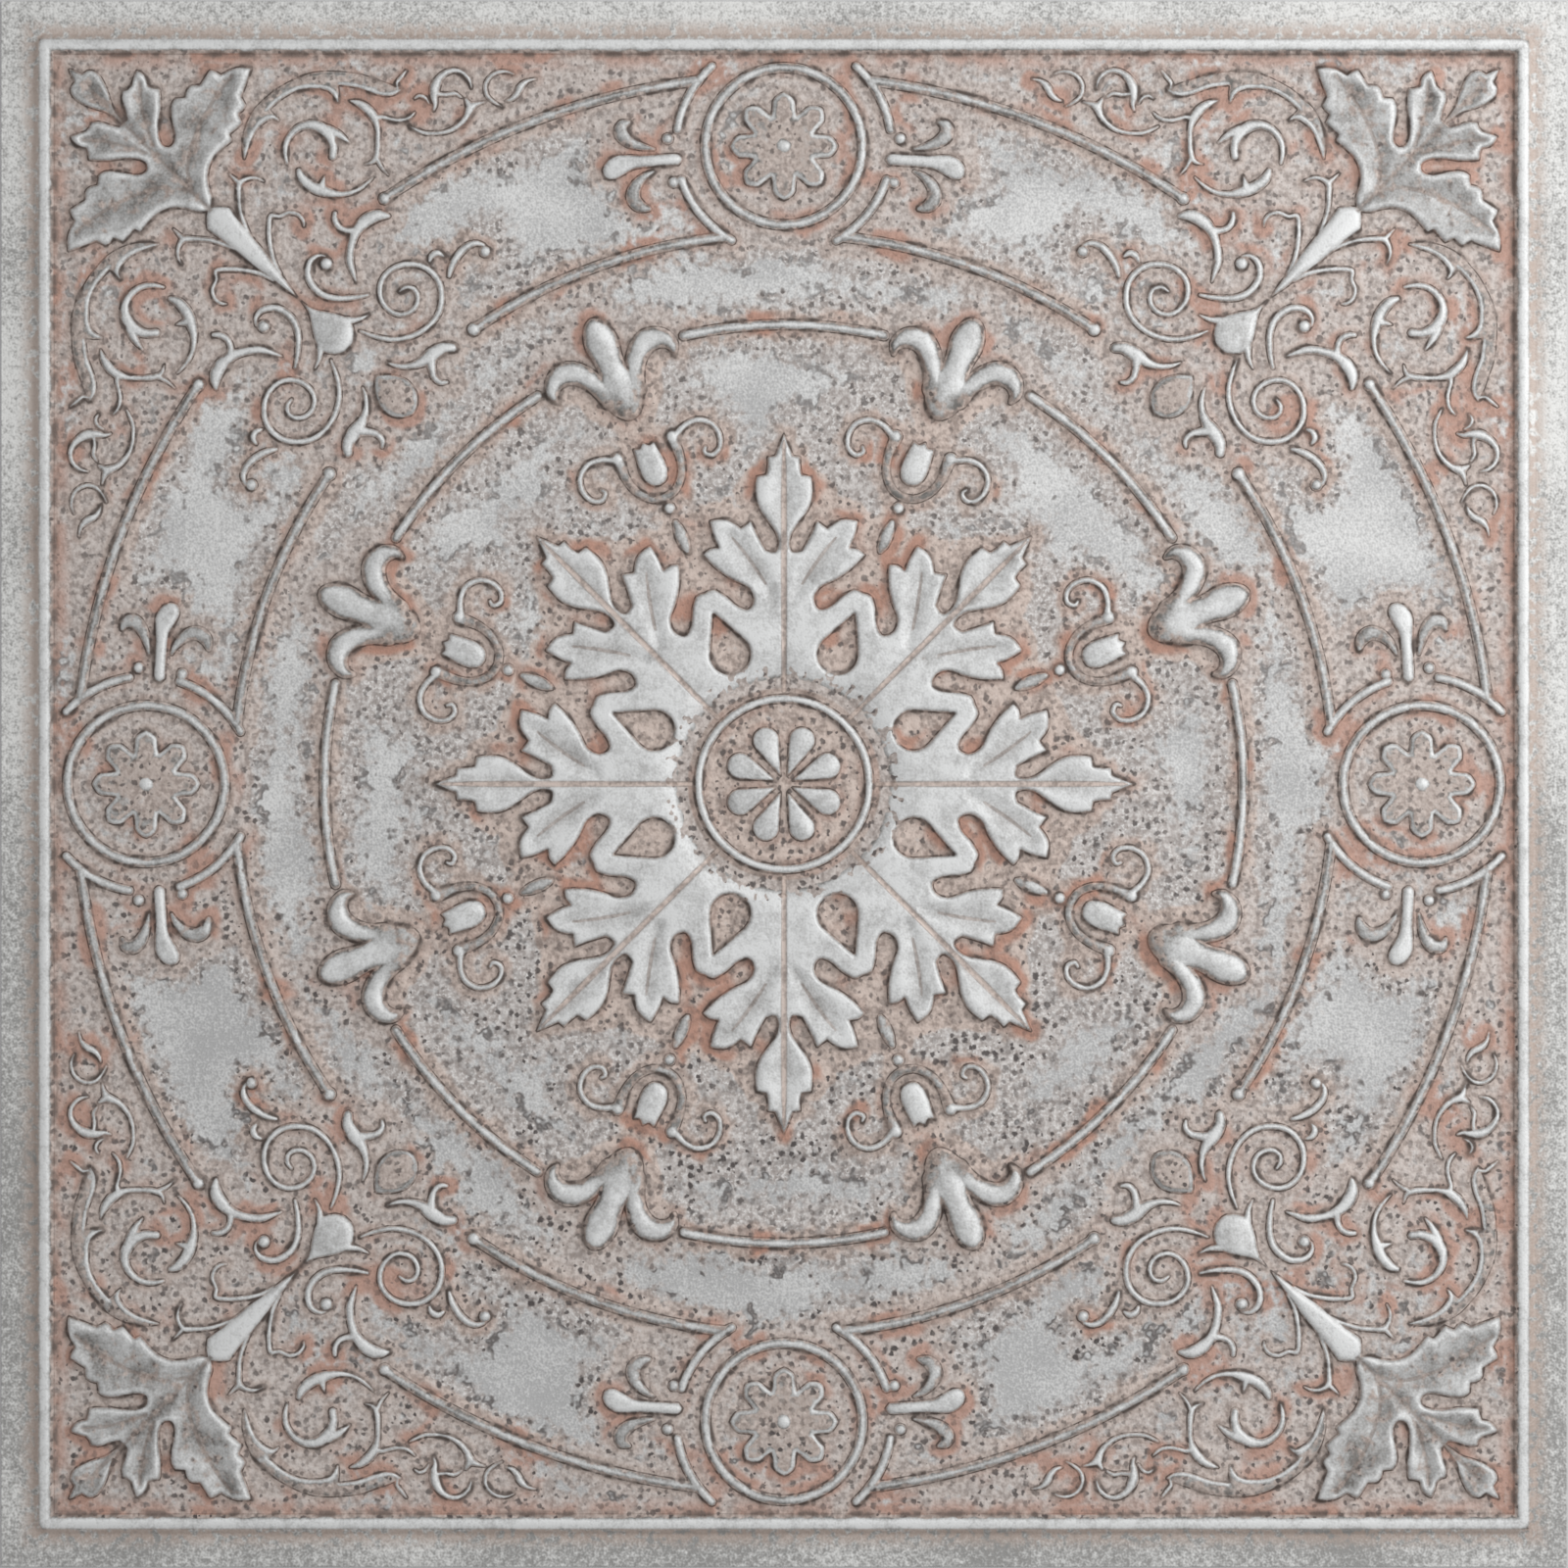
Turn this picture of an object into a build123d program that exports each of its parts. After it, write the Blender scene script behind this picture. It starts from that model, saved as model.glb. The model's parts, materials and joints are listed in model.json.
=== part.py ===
"""Square embossed ceiling tile, formed in one piece from a thin sheet.

The tile lies face up: +Z is the ornamented face, the flat back of the flange and field is at Z = 0.
Every raised form is hollow behind, because the sheet keeps its thickness where it is pushed up.
Millimetres and degrees.
"""

import os
from math import acos, asin, cos, degrees, hypot, radians, sin

from build123d import *

# Sheet and border
TILE = 603.0  # side of the square, for a grid on 24 inch centres
SHEET = 0.8  # thickness of the sheet
FLANGE = 13.0  # tile edge to the foot of the border bead
BEAD_RADIUS = 3.5  # half-round border bead
BEAD_CORNER = 6.0  # corner radius of the bead's centre line

# Rings of the field
RIB_RADIUS = 2.1  # half-round ribs of the three rings
RING_MARGIN = 8.5  # border bead's inner foot to the outer ring
BAND = 61.0  # outer ring to middle ring
INNER_GAP = 35.0  # middle ring to inner ring
RING_STOP = 34.5  # angle from a medallion's axis to the free ends of the two outer rings
INNER_HALF_SPAN = 12.6  # half the angle of one arc of the inner ring
KNOB_RADIUS = 2.9  # round knob on each free end of the outer rings

# Medallions on the four axes
MEDALLION_INSET = 27.3  # outer ring to a medallion's centre
MEDALLION_RADIUS = 30.3  # medallion ring's centre line
MEDALLION_PETALS = 8
MEDALLION_PETAL_REACH = 19.6
MEDALLION_PETAL_RADIUS = 4.1
MEDALLION_BOSS = 3.8
MEDALLION_RISE = 2.0  # height of the petals over the field
BRACKET_RADIUS = 41.5  # arcs that frame a medallion, about its centre
BRACKET_RIB = 1.7
BRACKET_ARCS = [(42.0, 81.0, 81.0), (108.0, 151.0, 108.0)]  # first and last angle from outwards, angle of the ball
BRACKET_BALL = 3.0  # ball that ends each bracket arc
BALL_OFFSET = 4.4  # bracket arc to the ball's centre

# Rosette in the middle
CENTRE_RING = 33.4
CENTRE_PETALS = 8
CENTRE_PETAL_REACH = 23.5
CENTRE_PETAL_RADIUS = 5.0
CENTRE_PETAL_TIP = 1.5  # pointed end of a petal, from the centre
LEAVES = 8
LEAF_BASE = 42.0  # inner edge of the leaves
LEAF_TIP = 135.0
LEAF_RISE = 3.0
DROP_CENTRE = 54.0  # drop-shaped opening between two leaves
DROP_RADIUS = 7.7
DROP_TIP = 71.3

# Tulips between the leaves
TULIP_BALL_AT = 115.0
TULIP_BALL = 2.6
TULIP_CUP_AT = 130.5  # centre of the cup's arc
TULIP_CUP = 11.2
TULIP_RIB = 1.7
TULIP_BULB_AT = 130.5
TULIP_BULB = 5.4
TULIP_BULB_TIP = 142.5
TULIP_SCROLL_AT = (135.0, 20.6)
TULIP_SCROLL = 7.6
TULIP_SCROLL_ARC = (-48.0, 200.0)

# Crowns that break the inner ring
CROWN_RISE = 4.6

# Heights of the corner forms
PALMETTE_RISE = 3.6
SHIELD_RISE = 3.0
DART_RISE = 3.4

# Reach of a hollow past the back of the sheet, and the smallest hollows that can be drawn
PAST = 1.0
HOLLOW_AREA = 9.0
HOLLOW_RADIUS = 1.2

UP = (0, 0, 1)
ON_SHEET = (Align.CENTER, Align.CENTER, Align.MIN)

FIELD = TILE / 2 - FLANGE - 2 * BEAD_RADIUS
OUTER_RING = FIELD - RING_MARGIN
MIDDLE_RING = OUTER_RING - BAND
INNER_RING = MIDDLE_RING - INNER_GAP
MEDALLION_AT = OUTER_RING - MEDALLION_INSET

# Half of one leaf, from its tip to the line midway to the next leaf: distance along the leaf from the
# tile's centre, then out from its midrib. A pair of points is an arc through the first to the second.
HALF_LEAF = [
    (126.7, 7.9),
    (123.5, 7.1),
    (119.0, 11.5),
    (117.6, 9.9),
    ((110.5, 12.2), (103.5, 9.0)),
    (92.6, 2.2),
    ((89.2, 4.3), (90.0, 7.0)),
    (101.5, 12.6),
    (98.7, 16.3),
    ((103.6, 22.5), (102.0, 28.8)),
    ((96.0, 28.6), (91.2, 26.2)),
    (88.5, 32.0),
    ((83.0, 26.5), (78.8, 20.2)),
    ((75.5, 13.6), (71.1, 11.7)),
    ((67.0, 13.0), (68.4, 17.6)),
    ((73.6, 23.5), (75.0, 26.8)),
    (73.6, 30.485),
]

# Half of one crown, from its foot to its top: distance out from the inner ring, then across.
HALF_CROWN_FOOT = (-22.0, 0.0)
HALF_CROWN = [
    ((-20.5, 5.0), (-17.5, 7.7)),
    ((-12.0, 9.2), (-8.0, 10.0)),
    ((-4.2, 13.0), (-2.8, 17.0)),
    ((-4.6, 21.0), (-8.6, 23.4)),
    ((-4.0, 26.9), (1.0, 26.2)),
    ((6.2, 20.5), (3.6, 12.0)),
    (-3.7, 6.2),
    ((4.5, 6.3), (10.5, 7.0)),
    ((15.6, 4.6), (17.2, 0.0)),
]

# Half of a corner palmette, from the corner tip to the stem: distances in from the field's two sides.
PALMETTE_TIP = (4.0, 4.0)
HALF_PALMETTE = [
    ((9.5, 3.4), (18.5, 7.0)),
    ((23.5, 13.5), (28.0, 17.5)),
    ((28.6, 11.0), (33.5, 5.5)),
    ((36.6, 9.0), (37.0, 13.5)),
    (41.5, 12.5),
    ((43.2, 18.0), (42.4, 26.5)),
    ((42.6, 34.3), (45.5, 35.0)),
    ((50.2, 32.0), (49.0, 19.0)),
    ((58.0, 9.5), (77.5, 3.5)),
    ((76.5, 9.0), (74.5, 14.5)),
    (76.8, 18.0),
    ((71.5, 25.0), (67.0, 29.0)),
    (69.0, 34.0),
    ((60.5, 42.5), (61.5, 56.0)),
    (64.0, 64.0),
]

# Stem below the palmette, on the diagonal: distance in from the corner along it, and half width.
STEM_TOP = 91.0
STEM_TOP_HALF = 3.6
STEM_FOOT = 136.0
STEM_FOOT_HALF = 2.2
STEM_RISE = 4.0

# Shield under the stem: half outline, distances in from the field's two sides.
SHIELD_TOP = (101.5, 101.5)
HALF_SHIELD = [
    ((104.5, 100.5), (111.0, 100.0)),
    (123.5, 98.0),
    (117.0, 103.5),
    ((117.6, 112.0), (111.5, 111.5)),
]

# Dart beside a scroll: whole outline.
DART_START = (127.5, 119.5)
DART = [
    ((137.5, 118.0), (146.0, 112.2)),
    ((154.0, 110.0), (156.0, 115.5)),
    ((149.5, 118.5), (149.0, 123.0)),
    ((147.5, 127.0), (152.5, 125.8)),
    ((153.0, 130.0), (147.0, 130.0)),
    ((142.0, 126.0), (144.0, 121.5)),
    ((136.0, 122.4), (127.5, 119.5)),
]

# Scrolls of the corner, as ribs of tangent arcs: start, heading, then (radius, turn) for each arc.
# The start is given as distances in from the field's two sides, the heading in the tile's frame.
SCROLL_RIB = 1.6
SCROLL_BALL = 2.6
BIG_SCROLL = ((118.0, 107.5), 205.0, [(24.0, 40.0), (15.0, 170.0), (12.0, 120.0), (7.5, 170.0), (4.6, 120.0)])
TENDRIL = ((123.0, 91.0), 180.0, [(40.0, 20.0), (11.5, 150.0), (6.0, 60.0)])


def flipped(point):
    """Mirror image of a point in the line Y = X."""
    return (point[1], point[0])


def turned(point, angle, mirror=False):
    """A point on a radius, mirrored in that radius if asked, then turned about the tile's centre."""
    x, y = point[0], -point[1] if mirror else point[1]
    c, s = cos(radians(angle)), sin(radians(angle))
    return (x * c - y * s, x * s + y * c)


def from_corner(point):
    """Distances in from the field's two sides, as a point of the upper right corner."""
    return (FIELD - point[0], FIELD - point[1])


def is_arc(run):
    return isinstance(run[0], tuple)


def mapped(runs, place):
    """The same runs with every point put through place."""
    return [tuple(place(p) for p in run) if is_arc(run) else place(run) for run in runs]


def reversed_runs(start, runs):
    """The runs walked from their end back to start."""
    stops = [start] + [run[1] if is_arc(run) else run for run in runs]
    return [(run[0], stops[i]) if is_arc(run) else stops[i] for i, run in reversed(list(enumerate(runs)))]


def edges_along(start, runs):
    """Edges from start through the runs: a point ends a straight run, a pair an arc."""
    edges, here = [], start
    for run in runs:
        if is_arc(run):
            through, there = run
            edges.append(ThreePointArc(here, through, there))
        else:
            there = run
            edges.append(Line(here, there))
        here = there
    return edges


def mirrored_face(start, runs, mirror):
    """Face inside the runs and their mirror image, which share their two ends."""
    end = runs[-1][1] if is_arc(runs[-1]) else runs[-1]
    back = mapped(reversed_runs(start, runs), mirror)
    closing = [] if mirror(end) == end else [Line(end, mirror(end))]
    return make_face(edges_along(start, runs) + closing + edges_along(mirror(end), back))


def drop(tip, centre, radius):
    """Drop on the X axis: a circle drawn out to a point."""
    lean = asin(radius / abs(tip - centre))
    side = 1 if tip > centre else -1
    foot, half = centre + side * radius * sin(lean), radius * cos(lean)
    point = Polygon((tip, 0), (foot, half), (foot, -half), align=None)
    return point + Pos(centre, 0) * Circle(radius)


class Relief:
    """Raised forms of one motif, and the hollows behind those wide enough to be drawn hollow."""

    def __init__(self):
        self.raised = []
        self.hollows = []

    def pad(self, face, rise):
        """Flat-topped form over a face."""
        self.raised.append(extrude(face, SHEET + rise, dir=UP))
        inside = [f for f in offset(face, amount=-SHEET).faces() if f.area > HOLLOW_AREA]
        self.hollows += [extrude(Pos(0, 0, -PAST) * f, PAST + rise, dir=UP) for f in inside]

    def rib(self, centre, radius, first, last, half):
        """Half-round rib along a circle about a centre, between two angles."""
        place = Pos(*centre) * Rot(0, 0, first)
        turn = last - first
        self.raised.append(place * revolve(Pos(radius, 0) * rib_section(half, 0.0), Axis.Z, turn))
        if half - SHEET >= HOLLOW_RADIUS:
            inside = rib_section(half - SHEET, -PAST)
            self.hollows.append(place * revolve(Pos(radius, 0) * inside, Axis.Z, turn))

    def ball(self, centre, radius):
        """Round knob: half a ball on the sheet, too tight to be drawn hollow."""
        post = Cylinder(radius, SHEET, align=ON_SHEET)
        self.raised.append(Pos(*centre) * (post + Pos(0, 0, SHEET) * Sphere(radius, 0, align=ON_SHEET)))

    def scroll(self, start, heading, arcs, half):
        """Rib along tangent arcs that turn right from start, with a ball at the end."""
        x, y = start
        for radius, turn in arcs:
            cx, cy = x + radius * sin(radians(heading)), y - radius * cos(radians(heading))
            self.rib((cx, cy), radius, heading + 90 - turn, heading + 90, half)
            heading -= turn
            x, y = cx - radius * sin(radians(heading)), cy + radius * cos(radians(heading))
        self.ball((x, y), SCROLL_BALL)

    def mirrored(self, plane):
        """The motif together with its mirror image."""
        both = Relief()
        both.raised = self.raised + [mirror(form, plane) for form in self.raised]
        both.hollows = self.hollows + [mirror(form, plane) for form in self.hollows]
        return both

    def repeated(self, count, first=0.0):
        """Copies of the motif turned about the tile's centre, evenly spaced."""
        turns = [Rot(0, 0, first + k * 360 / count) for k in range(count)]
        ring = Relief()
        ring.raised = [turn * form for turn in turns for form in self.raised]
        ring.hollows = [turn * form for turn in turns for form in self.hollows]
        return ring


def rib_section(half, low):
    """Upright section of a half-round rib in the XZ plane, centred on X = 0, with its foot at low."""
    sides = Polyline((half, SHEET), (half, low), (-half, low), (-half, SHEET))
    crown = ThreePointArc((-half, SHEET), (0, SHEET + half), (half, SHEET))
    return Plane.XZ * make_face([*sides.edges(), crown])


def border():
    """Bead around the field."""
    reach = FIELD + BEAD_RADIUS
    path = RectangleRounded(2 * reach, 2 * reach, BEAD_CORNER).face().outer_wire()
    relief = Relief()
    relief.raised.append(sweep(Pos(reach, 0) * rib_section(BEAD_RADIUS, 0.0), path=path))
    relief.hollows.append(sweep(Pos(reach, 0) * rib_section(BEAD_RADIUS - SHEET, -PAST), path=path))
    return relief


def ring_start(ring):
    """Angle from a medallion's axis at which a ring meets the brackets around the medallion."""
    a, b = ring, MEDALLION_AT
    return degrees(acos((a * a + b * b - BRACKET_RADIUS**2) / (2 * a * b)))


def rings():
    """The two rings between medallions and corners, with a knob on each free end."""
    relief = Relief()
    for ring in (OUTER_RING, MIDDLE_RING):
        relief.rib((0, 0), ring, ring_start(ring), RING_STOP, RIB_RADIUS)
        relief.ball(turned((ring, 0), RING_STOP), KNOB_RADIUS)
    return relief.mirrored(Plane.XZ).repeated(4)


def inner_ring():
    """The inner ring, broken by the crowns."""
    relief = Relief()
    relief.rib((0, 0), INNER_RING, -INNER_HALF_SPAN, INNER_HALF_SPAN, RIB_RADIUS)
    return relief.repeated(LEAVES)


def flower(count, tip, reach, radius):
    """Petals about the origin, each a drop with its point inwards."""
    petal = drop(tip, reach - radius, radius)
    return Sketch() + [Rot(0, 0, (k + 0.5) * 360 / count) * petal for k in range(count)]


def medallions():
    """Ringed flowers on the four axes."""
    centre = (MEDALLION_AT, 0)
    petals = flower(MEDALLION_PETALS, 0.0, MEDALLION_PETAL_REACH, MEDALLION_PETAL_RADIUS)
    relief = Relief()
    relief.rib(centre, MEDALLION_RADIUS, 0, 360, RIB_RADIUS)
    relief.pad(Pos(*centre) * petals, MEDALLION_RISE)
    relief.ball(centre, MEDALLION_BOSS)
    return relief.repeated(4)


def brackets():
    """Arcs on both sides of each medallion, each ending in a ball."""
    relief = Relief()
    for first, last, ball_angle in BRACKET_ARCS:
        relief.rib((MEDALLION_AT, 0), BRACKET_RADIUS, first, last, BRACKET_RIB)
        at = turned((BRACKET_RADIUS + BALL_OFFSET, 0), ball_angle)
        relief.ball((MEDALLION_AT + at[0], at[1]), BRACKET_BALL)
    return relief.mirrored(Plane.XZ).repeated(4)


def leaves():
    """The eight leaves as one face with a drop-shaped opening between each two."""
    pitch, tip = 360 / LEAVES, (LEAF_TIP, 0.0)
    openings = [Rot(0, 0, (k + 0.5) * pitch) * drop(DROP_TIP, DROP_CENTRE, DROP_RADIUS) for k in range(LEAVES)]
    edges = []
    for k in range(LEAVES):
        angle = k * pitch
        edges += edges_along(turned(tip, angle), mapped(HALF_LEAF, lambda p: turned(p, angle)))
        back = mapped(reversed_runs(tip, HALF_LEAF), lambda p: turned(p, angle + pitch, mirror=True))
        edges += edges_along(turned(HALF_LEAF[-1], angle), back)
    return make_face(edges) - Circle(LEAF_BASE) - openings


def rosette():
    """Ring and flower in the middle, and the eight leaves around them."""
    relief = Relief()
    relief.rib((0, 0), CENTRE_RING, 0, 360, RIB_RADIUS)
    relief.pad(flower(CENTRE_PETALS, CENTRE_PETAL_TIP, CENTRE_PETAL_REACH, CENTRE_PETAL_RADIUS), MEDALLION_RISE)
    relief.pad(leaves(), LEAF_RISE)
    return relief


def tulips():
    """Tulips between the leaves: ball, cup, bulb and two scrolls."""
    first, last = TULIP_SCROLL_ARC
    side = Relief()
    side.rib(TULIP_SCROLL_AT, TULIP_SCROLL, first, last, TULIP_RIB)
    side.ball((TULIP_CUP_AT, TULIP_CUP), TULIP_BALL)
    relief = side.mirrored(Plane.XZ)
    relief.ball((TULIP_BALL_AT, 0), TULIP_BALL)
    relief.rib((TULIP_CUP_AT, 0), TULIP_CUP, 90, 270, TULIP_RIB)
    relief.pad(drop(TULIP_BULB_TIP, TULIP_BULB_AT, TULIP_BULB), LEAF_RISE)
    return relief.repeated(LEAVES, 180 / LEAVES)


def crowns():
    """Crowns that stand in the gaps of the inner ring."""
    foot = (INNER_RING + HALF_CROWN_FOOT[0], HALF_CROWN_FOOT[1])
    runs = mapped(HALF_CROWN, lambda p: (INNER_RING + p[0], p[1]))
    relief = Relief()
    relief.pad(mirrored_face(foot, runs, lambda p: (p[0], -p[1])), CROWN_RISE)
    return relief.repeated(LEAVES, 180 / LEAVES)


def corners():
    """Palmette, stem, shield, darts and scrolls of the four corners."""
    half = Relief()
    half.pad(make_face(edges_along(from_corner(DART_START), mapped(DART, from_corner))), DART_RISE)
    for start, heading, arcs in (BIG_SCROLL, TENDRIL):
        half.scroll(from_corner(start), heading, arcs, SCROLL_RIB)
    relief = half.mirrored(Plane(origin=(0, 0, 0), z_dir=(1, -1, 0)))
    relief.pad(mirrored_face(from_corner(PALMETTE_TIP), mapped(HALF_PALMETTE, from_corner), flipped), PALMETTE_RISE)
    relief.pad(mirrored_face(from_corner(SHIELD_TOP), mapped(HALF_SHIELD, from_corner), flipped), SHIELD_RISE)
    relief.pad(stem(), STEM_RISE)
    return relief.repeated(4)


def stem():
    """Tapered stem on the diagonal, round at both ends."""
    top, foot = (hypot(FIELD, FIELD) - d for d in (STEM_TOP, STEM_FOOT))
    a, b = STEM_TOP_HALF, STEM_FOOT_HALF
    taper = Polygon((top, a), (foot, b), (foot, -b), (top, -a), align=None)
    return Rot(0, 0, 45) * (taper + Pos(top, 0) * Circle(a) + Pos(foot, 0) * Circle(b))


def ceiling_tile():
    """The formed sheet as one solid."""
    motifs = (border, rings, inner_ring, medallions, brackets, rosette, tulips, crowns, corners)
    reliefs = [motif() for motif in motifs]
    sheet = Box(TILE, TILE, SHEET, align=ON_SHEET)
    raised = sheet + [form for relief in reliefs for form in relief.raised]
    return raised - [form for relief in reliefs for form in relief.hollows]


def main():
    os.makedirs("parts", exist_ok=True)
    tile = ceiling_tile()
    tile.label = "ceiling_tile"
    export_step(tile, "parts/ceiling_tile.step")


main()
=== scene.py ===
"""Embossed ceiling tile, lying face up: one formed sheet with an antique silver finish over copper.

The relief is drawn in millimetres from the tile's centre, +X right and +Y up, on one quarter of the tile.
The quarter is the same on both sides of its diagonal, and it is mirrored into the whole tile.
"""
import json
from math import ceil, cos, radians, sin

import bpy
import numpy as np
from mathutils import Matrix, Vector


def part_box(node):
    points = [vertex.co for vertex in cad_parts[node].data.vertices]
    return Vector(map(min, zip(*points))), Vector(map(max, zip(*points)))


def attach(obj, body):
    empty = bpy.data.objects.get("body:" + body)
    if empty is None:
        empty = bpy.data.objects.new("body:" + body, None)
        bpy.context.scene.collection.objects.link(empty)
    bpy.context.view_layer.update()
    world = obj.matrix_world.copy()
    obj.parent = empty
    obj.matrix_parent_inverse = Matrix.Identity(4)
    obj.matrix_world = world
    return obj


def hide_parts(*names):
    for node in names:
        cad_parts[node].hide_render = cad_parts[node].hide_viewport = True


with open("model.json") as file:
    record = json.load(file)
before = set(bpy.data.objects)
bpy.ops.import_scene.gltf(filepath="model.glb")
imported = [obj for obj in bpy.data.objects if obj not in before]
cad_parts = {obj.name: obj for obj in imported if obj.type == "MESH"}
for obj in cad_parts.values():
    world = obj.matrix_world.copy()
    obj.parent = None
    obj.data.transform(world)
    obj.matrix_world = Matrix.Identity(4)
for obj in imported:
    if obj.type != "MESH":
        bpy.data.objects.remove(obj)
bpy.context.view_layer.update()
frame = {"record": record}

MM = 0.001
HALF = float(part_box("ceiling_tile")[1][0]) / MM  # half the tile's side
SHEET = next(m["pos_m"][2] for m in frame["record"]["mounts"] if m["name"] == "flange_face") / MM

# Border and rings, from the tile's centre
BEAD_AT = HALF - 16.6
BEAD = 3.6  # half width
BEAD_RISE = 3.4
BEAD_CORNER = 5.0
OUTER_RING = HALF - 28.5
MIDDLE_RING = HALF - 89.5
INNER_RING = HALF - 124.5
RIB = 1.9  # half width and rise of the rings
RING_STOP = 34.3  # degrees from a medallion's axis to a ring's free end
INNER_HALF_SPAN = 12.6  # degrees
MEDALLION = (0.0, HALF - 55.8)
MEDALLION_RING = 30.3
BRACKET = 41.5  # radius of the arcs about a medallion
CENTRE_RING = 32.9
PLATE_FROM = 36.5  # the leaves rise out of the ground between these two radii
PLATE_TO = 52.0
PLATE_BARE = 40.5  # and their silver begins here
DROP_AT = 54.0  # drop-shaped openings between the leaves: round end, its radius and the tip
DROP_RADIUS = 7.7
DROP_TIP = 71.3

# Forming of the sheet
FACE_SOFTNESS = 0.42  # radius by which the face of the relief is blurred
BACK_SOFTNESS = 0.5
SIDE_WALL = 0.9  # the hollow behind a form is narrower by this on each side
DEEPEST_CUT = 0.8  # share of a form's height that a vein may take

# What the surface says of its finish at each point
FINISH = ("edge", "tone", "vein", "crowd")

# Sampling of the relief
CELL = 0.45  # spacing of the samples
FAR = 30.0  # distances from the ornament are known up to here
CROWD = 14.0  # radius within which the share of ornament is felt
TONE_SOFTNESS = 0.3
FRONT_TRIANGLES = 40000  # in one quarter of the face
BACK_TRIANGLES = 8500  # in one quarter of the back
EDGE_WEIGHT = 0.04  # what a change of finish counts when the mesh is thinned, beside 1 mm of height
VEIN_WEIGHT = 0.5
TONE_WEIGHT = 0.9

# Stage, in metres
FLOOR_REACH = 6.0
WORLD_LIGHT = 0.535
LAMP_AT = (0.84, 0.36, 0.8)
LAMP_SIZE = 1.2
LAMP_WATTS = 11
CAMERA_HEIGHT = 4.0
PICTURE = 1600  # pixels of the picture's side
TILE_IN_PICTURE = 1597  # pixels that the tile spans


# Curves


def smooth(points, step=0.8):
    """Points along a smooth curve through rows of numbers whose first two are a place."""
    rows = np.array(points, float)
    gaps = np.hypot(*np.diff(rows[:, :2], axis=0).T)
    if len(rows) == 2:
        share = np.linspace(0, 1, max(2, ceil(gaps[0] / step) + 1))[:, None]
        return rows[0] + share * (rows[1] - rows[0])
    spans = np.sqrt(gaps)[:, None]
    slopes = np.diff(rows, axis=0) / spans
    tangents = np.empty_like(rows)
    tangents[1:-1] = (slopes[:-1] * spans[1:] + slopes[1:] * spans[:-1]) / (spans[:-1] + spans[1:])
    tangents[0] = 1.5 * slopes[0] - 0.5 * tangents[1]
    tangents[-1] = 1.5 * slopes[-1] - 0.5 * tangents[-2]
    pieces = []
    for i, gap in enumerate(gaps):
        t = np.linspace(0, 1, max(2, ceil(gap / step)), endpoint=False)[:, None]
        pieces.append(
            (2 * t**3 - 3 * t**2 + 1) * rows[i]
            + (t**3 - 2 * t**2 + t) * spans[i] * tangents[i]
            + (3 * t**2 - 2 * t**3) * rows[i + 1]
            + (t**3 - t**2) * spans[i] * tangents[i + 1]
        )
    return np.concatenate([*pieces, rows[-1:]])


def outline(start, *runs):
    """Line of smooth runs that meet in corners."""
    points = [np.array([start], float)]
    for run in runs:
        points.append(smooth([tuple(points[-1][-1]), *run])[1:])
    return np.concatenate(points)


def turned(points, angle):
    """Points turned about the origin, all by one angle or each by its own."""
    x, y = np.asarray(points, float).T
    c, s = np.cos(np.radians(angle)), np.sin(np.radians(angle))
    return np.stack([x * c - y * s, x * s + y * c], -1)


def closed_in_axis(half):
    """A half outline closed by its mirror image in the X axis."""
    return np.concatenate([half, half[::-1] * (1, -1)])


def closed_in_diagonal(half):
    """A half outline closed by its mirror image in the line Y = X."""
    return np.concatenate([half, half[::-1, ::-1]])


def petal(tip, middle, radius):
    """Drop-shaped outline on the X axis: pointed at tip, round about middle."""
    side = 1 if middle > tip else -1
    lean = np.degrees(np.arcsin(radius / abs(middle - tip)))
    turn = np.radians(np.linspace(-90 - lean, 90 + lean, 25))
    return np.array([(tip, 0.0), *zip(middle + side * radius * np.cos(turn), radius * np.sin(turn))])


def ease(low, high, value):
    """0 below low, 1 above high, and a smooth step between."""
    t = np.clip((value - low) / (high - low), 0, 1)
    return t * t * (3 - 2 * t)


# Fields on a grid


def distance(x, y, a, b):
    """Distance of places from the segment a to b, and the half width there."""
    dx, dy = b[0] - a[0], b[1] - a[1]
    t = np.clip(((x - a[0]) * dx + (y - a[1]) * dy) / max(dx * dx + dy * dy, 1e-9), 0, 1)
    return np.hypot(x - a[0] - t * dx, y - a[1] - t * dy), a[2] + t * (b[2] - a[2])


def depth_inside(x, y, shape):
    """Distance of places from a closed outline, negative outside it."""
    away, inside = np.full(x.shape, FAR), np.zeros(x.shape, bool)
    for a, b in zip(shape, np.roll(shape, -1, axis=0)):
        away = np.minimum(away, distance(x, y, (*a, 0), (*b, 0))[0])
        if a[1] != b[1]:
            crossing = (b[0] - a[0]) * (y - a[1]) / (b[1] - a[1]) + a[0]
            inside ^= ((a[1] > y) != (b[1] > y)) & (x < crossing)
    return np.where(inside, away, -away)


def shifted(field, reach, axis):
    """Copies of a field moved by up to reach samples along an axis, mirrored at the ends."""
    pad = [(reach, reach) if a == axis else (0, 0) for a in (0, 1)]
    wide = np.pad(field, pad, mode="reflect")
    size = field.shape[axis]
    return [np.take(wide, range(k, k + size), axis) for k in range(2 * reach + 1)]


def softened(field, radius):
    """A field blurred by a bell curve of the given radius in millimetres."""
    reach = ceil(3 * radius / CELL)
    bell = np.exp(-0.5 * (np.arange(-reach, reach + 1) * CELL / radius) ** 2)
    for axis in (0, 1):
        field = sum(w * copy for w, copy in zip(bell / bell.sum(), shifted(field, reach, axis)))
    return field


def eroded(field, radius):
    """The lowest value of a field within a distance in millimetres."""
    for axis in (0, 1):
        field = np.minimum.reduce(shifted(field, round(radius / CELL), axis))
    return field


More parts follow.
